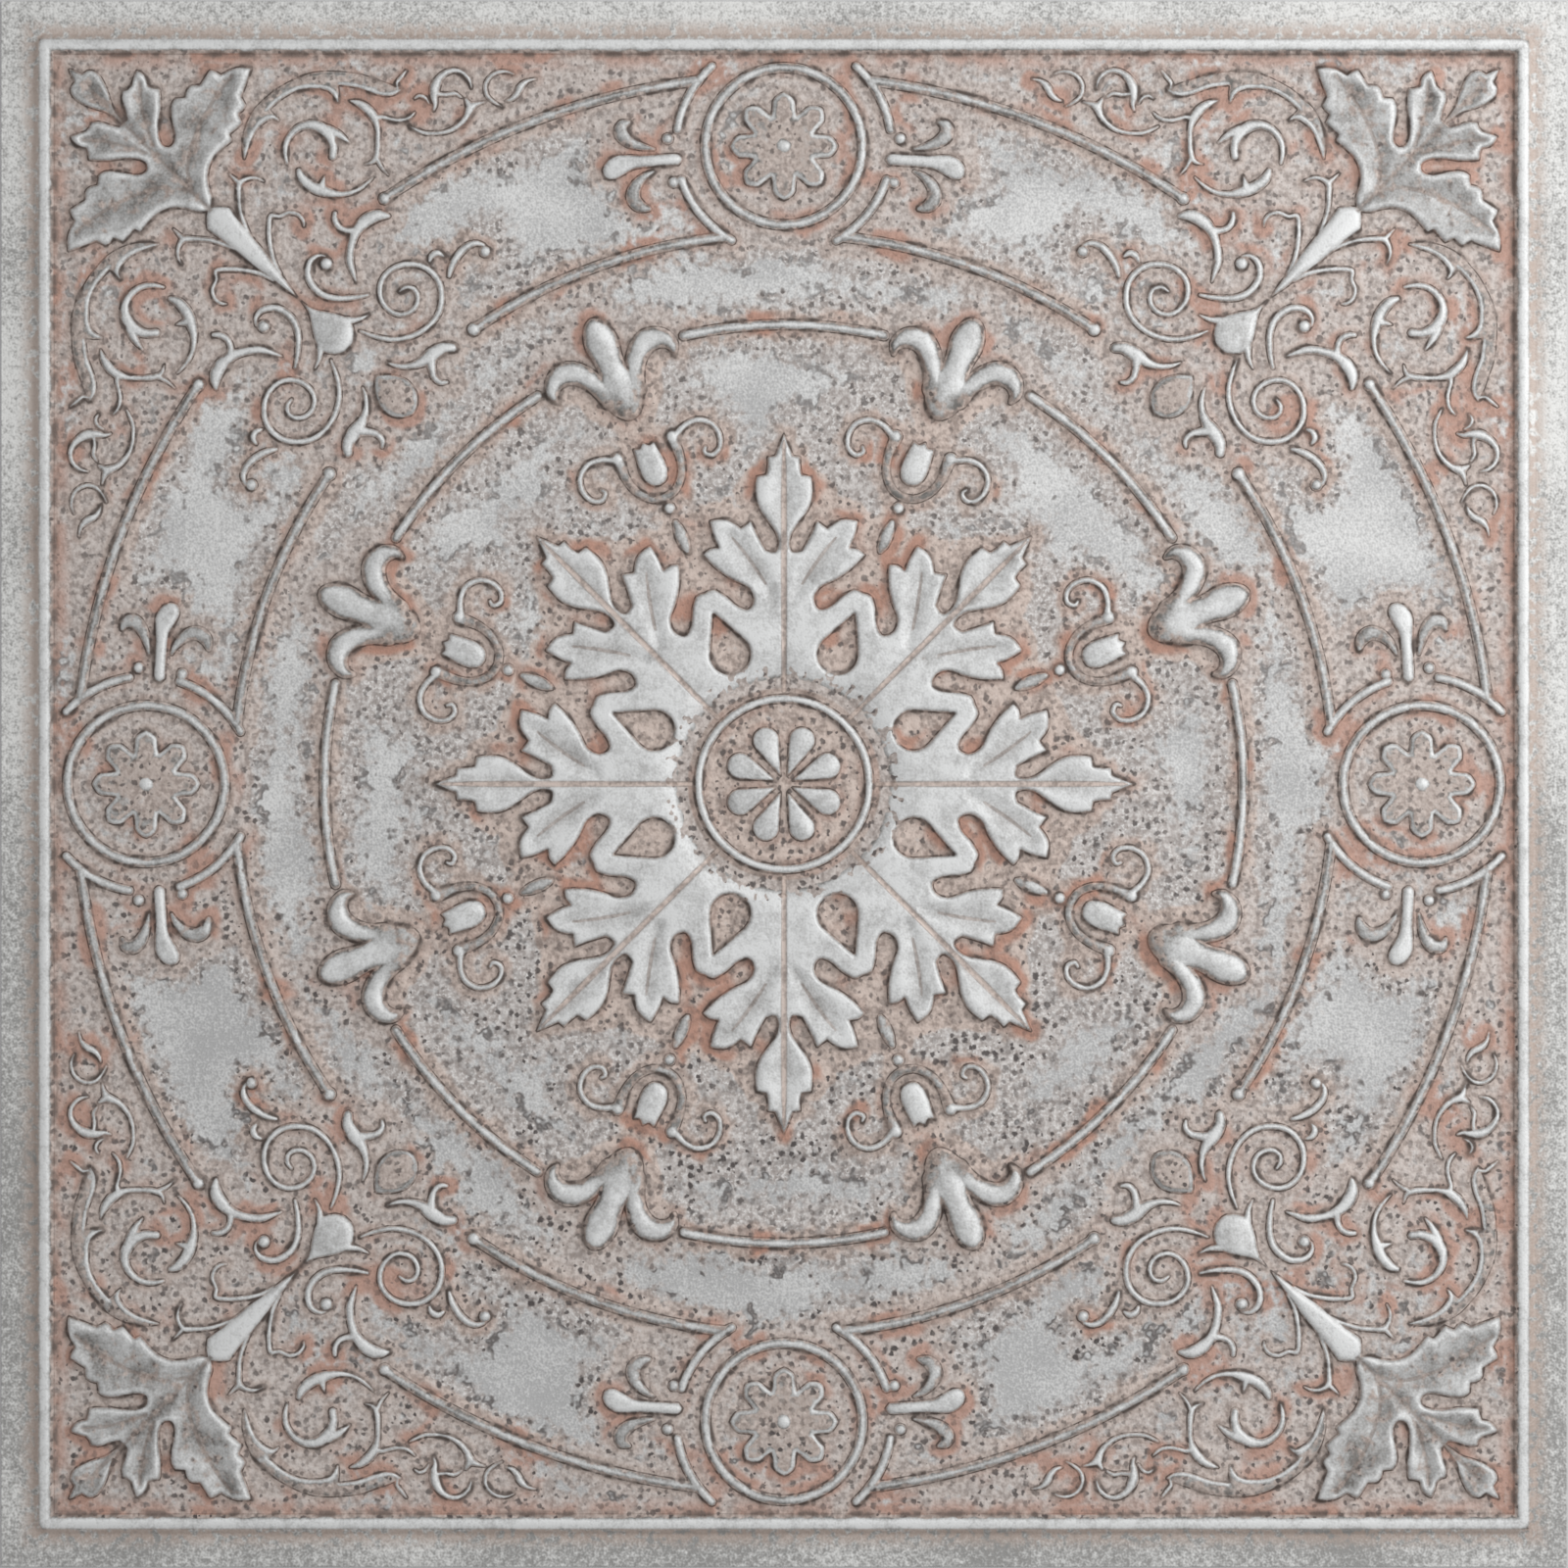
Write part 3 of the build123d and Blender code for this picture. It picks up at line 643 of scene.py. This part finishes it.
def mesh_of(name, points, faces):
    """Mesh from arrays of places and of faces with one number of corners."""
    mesh = bpy.data.meshes.new(name)
    mesh.vertices.add(len(points))
    mesh.vertices.foreach_set("co", points.astype(np.float32).ravel())
    mesh.loops.add(faces.size)
    mesh.loops.foreach_set("vertex_index", faces.astype(np.int32).ravel())
    mesh.polygons.add(len(faces))
    mesh.polygons.foreach_set("loop_start", np.arange(len(faces), dtype=np.int32) * faces.shape[1])
    mesh.update(calc_edges=True)
    return mesh


def thinned(relief, height, triangles):
    """Places and triangles over the quarter, dense where the surface or its finish changes."""
    finish = EDGE_WEIGHT * np.minimum(relief.edge, 0) + VEIN_WEIGHT * relief.vein + TONE_WEIGHT * relief.tone
    points = np.stack([relief.x, relief.y, height + finish], -1).reshape(-1, 3)
    index = np.arange(relief.x.size).reshape(relief.x.shape)
    quads = np.stack([index[:-1, :-1], index[:-1, 1:], index[1:, 1:], index[1:, :-1]], -1).reshape(-1, 4)
    dense = bpy.data.objects.new("quarter", mesh_of("quarter", points, quads))
    bpy.context.scene.collection.objects.link(dense)
    thin = dense.modifiers.new("thin", "DECIMATE")
    thin.ratio = triangles / (2 * len(quads))
    thin.use_collapse_triangulate = True
    mesh = bpy.data.meshes.new_from_object(dense.evaluated_get(bpy.context.evaluated_depsgraph_get()))
    places = np.empty(len(mesh.vertices) * 3, np.float32)
    mesh.vertices.foreach_get("co", places)
    faces = np.empty(len(mesh.loops), np.int32)
    mesh.loops.foreach_get("vertex_index", faces)
    for used in (mesh, dense.data):
        bpy.data.meshes.remove(used)
    places, faces = places.reshape(-1, 3)[:, :2].astype(float), faces.reshape(-1, 3)
    # The rim goes back to the quarter's four sides.
    pairs = np.sort(faces[:, [0, 1, 1, 2, 2, 0]].reshape(-1, 2))
    sides, uses = np.unique(pairs, axis=0, return_counts=True)
    rim = np.unique(sides[uses == 1])
    places[rim] = np.where(places[rim] < CELL, 0, np.where(places[rim] > HALF - CELL, HALF, places[rim]))
    return places, faces


def surface(relief, height, lift, triangles):
    """Rows of place, normal and finish, and the triangles, of a whole face of the sheet."""
    places, faces = thinned(relief, height, triangles)
    x, y = places.T
    slope_y, slope_x = np.gradient(height, relief.step)
    normal = [-relief.read(slope_x, x, y), -relief.read(slope_y, x, y), np.ones_like(x)]
    finish = [relief.read(getattr(relief, name), x, y) for name in FINISH]
    rows = np.stack([x, y, lift + relief.read(height, x, y), *normal, *finish], 1)
    rows[:, 3:6] /= np.linalg.norm(rows[:, 3:6], axis=1, keepdims=True)
    for axis in (0, 1):
        on_axis = rows[:, axis] == 0
        rows[on_axis, axis + 3] = 0
        twin = np.where(on_axis, np.arange(len(rows)), len(rows) + np.cumsum(~on_axis) - 1)
        other = rows[~on_axis]
        other[:, [axis, axis + 3]] *= -1
        rows, faces = np.concatenate([rows, other]), np.concatenate([faces, twin[faces][:, ::-1]])
    return rows, faces


def rim_wall(rows, front_count):
    """Triangles and normals of the sheet's cut edge, between the rims of its face and its back."""
    faces, normals = [], []
    for axis, side in ((0, HALF), (0, -HALF), (1, HALF), (1, -HALF)):
        along = rows[:, 1 - axis]
        rim = np.nonzero(rows[:, axis] == side)[0]
        rim = rim[np.argsort(along[rim], kind="stable")]
        top, low = list(rim[rim < front_count]), list(rim[rim >= front_count])
        normal = [0.0, 0.0, 0.0]
        normal[axis] = np.sign(side)
        while len(top) > 1 or len(low) > 1:
            if len(low) == 1 or (len(top) > 1 and along[top[1]] < along[low[1]]):
                face = [top[0], low[0], top[1]]
                top.pop(0)
            else:
                face = [top[0], low[0], low[1]]
                low.pop(0)
            faces.append(face if (side > 0) == (axis == 0) else face[::-1])
            normals.append(normal)
    return np.array(faces), np.array(normals)


def tile_sheet(relief):
    """The whole sheet: face, back and cut edge in one closed mesh."""
    hollow = np.minimum(softened(eroded(relief.height, SIDE_WALL), BACK_SOFTNESS), relief.height)
    front, front_faces = surface(relief, relief.height, SHEET, FRONT_TRIANGLES)
    back, back_faces = surface(relief, hollow, 0.0, BACK_TRIANGLES)
    back[:, 3:6] *= -1
    rows = np.concatenate([front, back])
    wall_faces, wall_normals = rim_wall(rows, len(front))
    faces = np.concatenate([front_faces, back_faces[:, ::-1] + len(front), wall_faces])
    mesh = mesh_of("ceiling_tile_sheet", rows[:, :3] * MM, faces)
    for name, values in zip(FINISH, rows[:, 6:].T):
        mesh.attributes.new(name, "FLOAT", "POINT").data.foreach_set("value", values.astype(np.float32))
    mesh.materials.append(antique_silver())
    mesh.materials.append(plain_back())
    behind = np.zeros(len(faces), np.int32)
    behind[len(front_faces):len(front_faces) + len(back_faces)] = 1
    mesh.polygons.foreach_set("material_index", behind)
    normals = rows[faces.ravel(), 3:6]
    normals[-3 * len(wall_faces):] = np.repeat(wall_normals, 3, axis=0)
    mesh.normals_split_custom_set(normals.tolist())
    sheet = bpy.data.objects.new("ceiling_tile_sheet", mesh)
    bpy.context.scene.collection.objects.link(sheet)
    return sheet


# Materials


def colour(red, green, blue):
    """Linear colour from the 0 to 255 values that a screen shows."""
    values = np.array([red, green, blue]) / 255
    linear = np.where(values <= 0.04045, values / 12.92, ((values + 0.055) / 1.055) ** 2.4)
    return (*linear, 1.0)


class Nodes:
    """A material's nodes. Inputs take sockets and plain values alike."""

    def __init__(self, name):
        self.material = bpy.data.materials.new(name)
        self.material.use_nodes = True
        self.tree = self.material.node_tree
        self.shader = self.tree.nodes["Principled BSDF"]
        place = self.add("ShaderNodeTexCoord").outputs["Object"]
        scaled = self.add("ShaderNodeVectorMath", {0: place, 3: 1 / MM}, operation="SCALE")
        self.place = scaled.outputs[0]  # in millimetres

    def add(self, kind, inputs=None, **settings):
        """New node with its settings and inputs."""
        node = self.tree.nodes.new(kind)
        for key, value in settings.items():
            setattr(node, key, value)
        for key, value in (inputs or {}).items():
            self.put(node.inputs[key], value)
        return node

    def put(self, socket, value):
        """Link a socket to an input, or set a plain value there."""
        if isinstance(value, bpy.types.NodeSocket):
            self.tree.links.new(value, socket)
        else:
            socket.default_value = value

    def math(self, operation, a, b=0.0):
        """One operation on one or two values."""
        return self.add("ShaderNodeMath", {0: a, 1: b}, operation=operation).outputs[0]

    def sum(self, *terms):
        """Sum of values and of (value, weight) pairs."""
        total = 0.0
        for term in terms:
            part = self.math("MULTIPLY", *term) if isinstance(term, tuple) else term
            total = self.math("ADD", total, part)
        return total

    def times(self, first, *others):
        """Product of values."""
        for other in others:
            first = self.math("MULTIPLY", first, other)
        return first

    def rest(self, share):
        """What a share leaves of 1."""
        return self.math("SUBTRACT", 1.0, share)

    def ease(self, low, high, value):
        """0 below low, 1 above high, and a smooth step between."""
        inputs = {"Value": value, "From Min": low, "From Max": high}
        return self.add("ShaderNodeMapRange", inputs, interpolation_type="SMOOTHSTEP").outputs[0]

    def blend(self, share, first, second):
        """Colour from the first at share 0 to the second at share 1."""
        inputs = {0: share, 6: first, 7: second}
        return self.add("ShaderNodeMix", inputs, data_type="RGBA").outputs[2]

    def noise(self, size, detail=2.0, offset=0.0):
        """Cloudy noise from 0 to 1, with lumps of the given size in millimetres."""
        shift = {0: self.place, 1: (offset, 2 * offset, offset)}
        moved = self.add("ShaderNodeVectorMath", shift).outputs[0]
        inputs = {"Vector": moved, "Scale": 1 / size, "Detail": detail, "Roughness": 0.55}
        return self.add("ShaderNodeTexNoise", inputs, noise_dimensions="2D").outputs[0]

    def spots(self, size, warp):
        """Soft round spots of many sizes, one to a cell of the given size in millimetres."""
        inputs = {"Vector": self.place, "Scale": 1 / size}
        cells = self.add("ShaderNodeTexVoronoi", inputs, voronoi_dimensions="2D").outputs
        chance = self.add("ShaderNodeSeparateColor", {0: cells["Color"]}).outputs[0]
        ratio = self.math("DIVIDE", self.sum(cells["Distance"], warp), self.sum((chance, 0.46), 0.02))
        return self.rest(self.ease(0.4, 1.0, ratio))

    def attribute(self, name):
        """Value that the mesh carries at each point."""
        return self.add("ShaderNodeAttribute", attribute_name=name).outputs["Fac"]


SILVER_BRIGHT = colour(222, 223, 223)
SILVER_GREY = colour(121, 118, 115)
CLOUD_LIGHT = colour(224, 224, 223)
CLOUD_DARK = colour(178, 178, 178)
GROUND_LIGHT = colour(206, 201, 198)
GROUND_DARK = colour(162, 154, 150)
PEACH = colour(211, 192, 181)
PEACH_DARK = colour(154, 137, 128)
COPPER = colour(184, 132, 111)
SHADE = colour(112, 101, 95)
FOOT = colour(74, 64, 59)
PIT = colour(76, 70, 69)
PAINTED_GLINT = colour(230, 228, 226)
FLANGE_LIGHT = colour(224, 224, 222)
FLANGE_DARK = colour(150, 149, 147)
GROOVE = colour(182, 164, 153)
BACK_LIGHT = colour(176, 174, 170)
BACK_DARK = colour(158, 156, 152)
FLOOR_LIGHT = colour(206, 206, 207)
FLOOR_DARK = colour(200, 200, 200)


def antique_silver():
    """Silver rubbed over copper: bright ornament with dark feet, copper beside it, stippled ground."""
    n = Nodes("antique_silver")
    edge, tone, vein, crowd = (n.attribute(name) for name in FINISH)
    away = n.math("MAXIMUM", n.math("MULTIPLY", edge, -1.0), n.math("MINIMUM", edge, 1.5))
    pools, lumps, patches = n.noise(60, 2), n.noise(24, 1, 90), n.noise(11, 1, 40)
    specks, grains, dust = n.noise(3.9, 1, 10), n.noise(1.9, 1, 20), n.noise(0.9, 0, 30)
    spots = n.spots(3.9, n.sum((grains, 0.5), -0.25))

    # Regions of the tile: by distance from its centre, square for the border and round for the rosette,
    # by how dense the ornament is, and from the upper to the lower side
    across = n.add("ShaderNodeSeparateXYZ", {0: n.place}).outputs
    reach = n.math("MAXIMUM", n.math("ABSOLUTE", across[0]), n.math("ABSOLUTE", across[1]))
    radius = n.math("SQRT", n.sum((across[0], across[0]), (across[1], across[1])))
    inner = n.rest(n.ease(INNER_RING - 8, INNER_RING, radius))
    core = n.rest(n.ease(PLATE_BARE + 5, PLATE_BARE + 8, radius))
    bare = n.times(core, n.ease(PLATE_FROM, PLATE_FROM + 1, radius))
    dense = n.ease(0.12, 0.2, n.sum(crowd, (inner, -0.14)))
    crammed = n.times(dense, n.rest(inner))
    bead_foot = BEAD_AT - BEAD
    beside_bead = n.ease(bead_foot - 8, bead_foot - 2, reach)
    on_bead = n.ease(bead_foot - 3, bead_foot - 2, reach)
    # 1 at the tile's lower side and 0 at its upper side: painted shade that darkens the pools and the flange
    # towards the bottom; it also darkens the pits and adds dark blots there
    lower = n.rest(n.ease(-180, 140, across[1]))

    # Where each layer of the finish lies
    halo = n.rest(n.ease(1.5, 5.5, n.sum(away, (patches, 9.0), (specks, 5.0), (dense, -7.0), -7.0)))
    close = n.rest(n.ease(1.2, 3.6, away))
    beside = n.rest(n.ease(0.8, 4.0, n.sum(away, (patches, 7.0), (dense, -1.5), -3.5)))
    copper = n.times(beside, n.ease(0.54, 0.68, n.sum(lumps, (dense, 0.03))))
    copper = n.times(copper, n.rest(core), n.rest(n.times(crammed, 0.15)))
    copper = n.math("MAXIMUM", copper, n.times(close, n.ease(0.42, 0.6, lumps), n.rest(bare), 0.3))
    copper = n.math("MAXIMUM", copper, n.times(beside_bead, n.ease(0.3, 0.6, patches), 0.6))
    copper = n.times(copper, n.rest(n.ease(0.0, 0.4, edge)))
    clear = n.ease(7.0, 14.0, n.sum(away, (pools, 26.0), (specks, 16.0), (inner, -4.0), -20.0))
    shore = n.times(clear, n.rest(clear), 3.4, n.ease(0.56, 0.66, patches))
    open_share = n.times(n.rest(halo), n.rest(clear))

    # Ground: stippled grey with painted glints, peach and copper beside the ornament, clear pools and dark
    # spots
    ground = n.blend(n.ease(0.3, 0.7, n.sum((specks, 0.4), (grains, 0.6))), GROUND_DARK, GROUND_LIGHT)
    # Painted glints: white flecks of light on the open ground, where the metal flakes would catch the lamp
    painted_glints = n.ease(0.54, 0.68, n.sum((grains, 0.5), (dust, 0.5)))
    painted_glints = n.times(painted_glints, n.ease(0.3, 0.6, patches), open_share)
    ground = n.blend(n.times(painted_glints, 0.65), ground, PAINTED_GLINT)
    mottle = n.sum((grains, 0.35), (specks, 0.35), (patches, 0.3))
    peach = n.blend(n.ease(0.32, 0.6, mottle), PEACH_DARK, PEACH)
    tint = n.sum(0.8, (bare, -0.5), (crammed, n.sum(-0.5, (close, 0.3))))
    ground = n.blend(n.times(halo, tint), ground, peach)
    ground = n.blend(n.times(copper, n.sum(0.35, (mottle, 0.8))), ground, COPPER)
    pool = n.ease(0.25, 0.75, n.sum((lumps, 0.35), (grains, 0.35), (dust, 0.3)))
    # Painted shade: the pools darker towards the lower side
    pool = n.blend(n.sum(pool, (lower, -0.3)), CLOUD_DARK, CLOUD_LIGHT)
    ground = n.blend(clear, ground, pool)
    pitted = n.math("MAXIMUM", n.sum(0.45, (n.ease(0.35, 0.6, lumps), 0.55)), core)
    pits = n.times(spots, pitted, n.rest(n.times(clear, 0.95)), n.rest(n.times(copper, 0.7)))
    # The dark spots are darker towards the lower side, and the blots lie only there
    ground = n.blend(n.times(n.math("MAXIMUM", pits, shore), n.sum(0.7, (lower, 0.25))), ground, PIT)
    blots = n.times(n.ease(0.52, 0.68, n.noise(5.5, 1, 60)), lower, n.rest(clear), n.rest(crammed))
    ground = n.blend(n.times(blots, 0.35), ground, PIT)
    # Painted shade, with some patina: a soft dark band on the ground just outside the ornament, in patches,
    # stronger on the bead's inner flank
    shade = n.times(n.rest(n.ease(0.2, 2.8, away)), n.ease(0.4, 0.62, n.sum((patches, 0.6), (specks, 0.4))))
    ground = n.blend(n.times(shade, n.rest(bare), n.sum(0.55, (on_bead, 0.3))), ground, SHADE)

    # Ornament: bright where it is rubbed, smudged grey elsewhere
    smudge = n.times(n.rest(n.times(tone, 0.7)), n.sum((patches, 1.6), -0.8))
    stipple = n.sum((specks, 0.35), (grains, 0.45), (dust, 0.3), -0.55)
    metal = n.blend(n.sum(tone, smudge, stipple), SILVER_GREY, SILVER_BRIGHT)
    worn = n.sum(edge, n.times(bare, n.sum((specks, 8.0), -4.0)))
    kept = n.times(n.ease(0.0, 0.42, n.sum(tone, (specks, 1.2), -0.6)), n.ease(0.01, 0.08, tone))
    silver = n.times(n.ease(0.05, 0.5, worn), kept)
    shown = n.blend(silver, ground, metal)
    # Dark line along the foot of each form: patina in the crease and painted shade, broken in places, weaker
    # at the bead
    band = n.math("DIVIDE", n.math("ABSOLUTE", n.sum(edge, 0.2)), n.sum(0.45, n.ease(0.5, 0.75, patches)))
    broken = n.sum(0.4, (n.ease(0.4, 0.6, specks), 0.5))
    foot = n.times(n.rest(n.ease(0.15, 1.0, band)), broken, n.rest(bare), n.rest(n.times(on_bead, 0.6)))
    shown = n.blend(foot, shown, FOOT)
    lined = n.times(vein, n.rest(vein), 2.0, broken)
    shown = n.blend(n.times(vein, 0.85), shown, peach)
    shown = n.blend(lined, shown, FOOT)

    # The flange outside the bead has the grey alone, and a warm stipple beside the bead.
    bead_side = BEAD_AT + BEAD
    outside = n.ease(bead_side - 2.2, bead_side - 1.0, reach)
    cloud = n.sum((pools, 0.3), (specks, 0.2), (grains, 0.3), (dust, 0.2))
    # Painted shade: the flange a little darker towards the lower side
    flange = n.blend(n.ease(0.33, 0.67, n.sum(cloud, (lower, -0.1), 0.05)), FLANGE_DARK, FLANGE_LIGHT)
    warm = n.times(n.rest(n.ease(bead_side, bead_side + 8.0, reach)), n.ease(0.3, 0.55, specks))
    flange = n.blend(n.times(warm, 0.8), flange, GROOVE)
    n.put(n.shader.inputs["Base Color"], n.blend(outside, shown, flange))

    n.put(n.shader.inputs["Metallic"], n.times(silver, 0.2))
    n.put(n.shader.inputs["Roughness"], n.sum(0.58, (silver, -0.1), (grains, 0.12)))
    n.shader.inputs["Specular IOR Level"].default_value = 0.35
    bump = n.add("ShaderNodeBump", {"Height": n.sum((grains, 0.7), (dust, 0.4))})
    n.put(bump.inputs["Strength"], n.sum(0.55, (silver, -0.3)))
    bump.inputs["Distance"].default_value = 0.5 * MM
    n.put(n.shader.inputs["Normal"], bump.outputs[0])
    return n.material


def plain_back():
    """Unpainted back of the formed sheet: pale grey, slightly uneven, dull."""
    n = Nodes("plain_back")
    clouds, grains = n.noise(45, 3), n.noise(1.5, 2, 15)
    shade = n.blend(n.ease(0.3, 0.7, n.sum((clouds, 0.6), (grains, 0.4))), BACK_DARK, BACK_LIGHT)
    n.put(n.shader.inputs["Base Color"], shade)
    n.put(n.shader.inputs["Roughness"], n.sum(0.5, (clouds, 0.2)))
    bump = n.add("ShaderNodeBump", {"Height": grains, "Strength": 0.25, "Distance": 0.2 * MM})
    n.put(n.shader.inputs["Normal"], bump.outputs[0])
    return n.material


def pale_floor():
    """Matt, pale floor."""
    n = Nodes("pale_floor")
    n.put(n.shader.inputs["Base Color"], n.blend(n.noise(180, 2), FLOOR_DARK, FLOOR_LIGHT))
    n.shader.inputs["Roughness"].default_value = 0.9
    return n.material


# Stage


def floor():
    """Floor under the tile."""
    corners = FLOOR_REACH * np.array([(-1, -1, 0), (1, -1, 0), (1, 1, 0), (-1, 1, 0)])
    plane = bpy.data.objects.new("floor", mesh_of("floor", corners, np.array([[0, 1, 2, 3]])))
    plane.data.materials.append(pale_floor())
    bpy.context.scene.collection.objects.link(plane)


def lights():
    """Even world light, and one large soft lamp above the tile's upper right."""
    world = bpy.data.worlds.new("studio")
    world.use_nodes = True
    background = world.node_tree.nodes["Background"].inputs
    background["Color"].default_value = (1, 1, 1, 1)
    background["Strength"].default_value = WORLD_LIGHT
    bpy.context.scene.world = world
    lamp = bpy.data.lights.new("soft_lamp", "AREA")
    lamp.size = LAMP_SIZE
    lamp.energy = LAMP_WATTS
    carrier = bpy.data.objects.new("soft_lamp", lamp)
    carrier.location = LAMP_AT
    carrier.rotation_euler = (-carrier.location).to_track_quat("-Z", "Y").to_euler()
    bpy.context.scene.collection.objects.link(carrier)


def camera():
    """Camera straight above the tile, far enough for a nearly parallel view."""
    framed = 2 * HALF * MM * PICTURE / TILE_IN_PICTURE
    data = bpy.data.cameras.new("camera")
    data.sensor_width = 36.0
    data.lens = data.sensor_width * (CAMERA_HEIGHT - SHEET * MM) / framed
    eye = bpy.data.objects.new("camera", data)
    eye.location = (0, 0, CAMERA_HEIGHT)
    bpy.context.scene.collection.objects.link(eye)
    bpy.context.scene.camera = eye


bpy.context.scene.view_settings.view_transform = "Standard"
sheet = tile_sheet(draw())
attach(sheet, "root")
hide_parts("ceiling_tile")
floor()
lights()
camera()
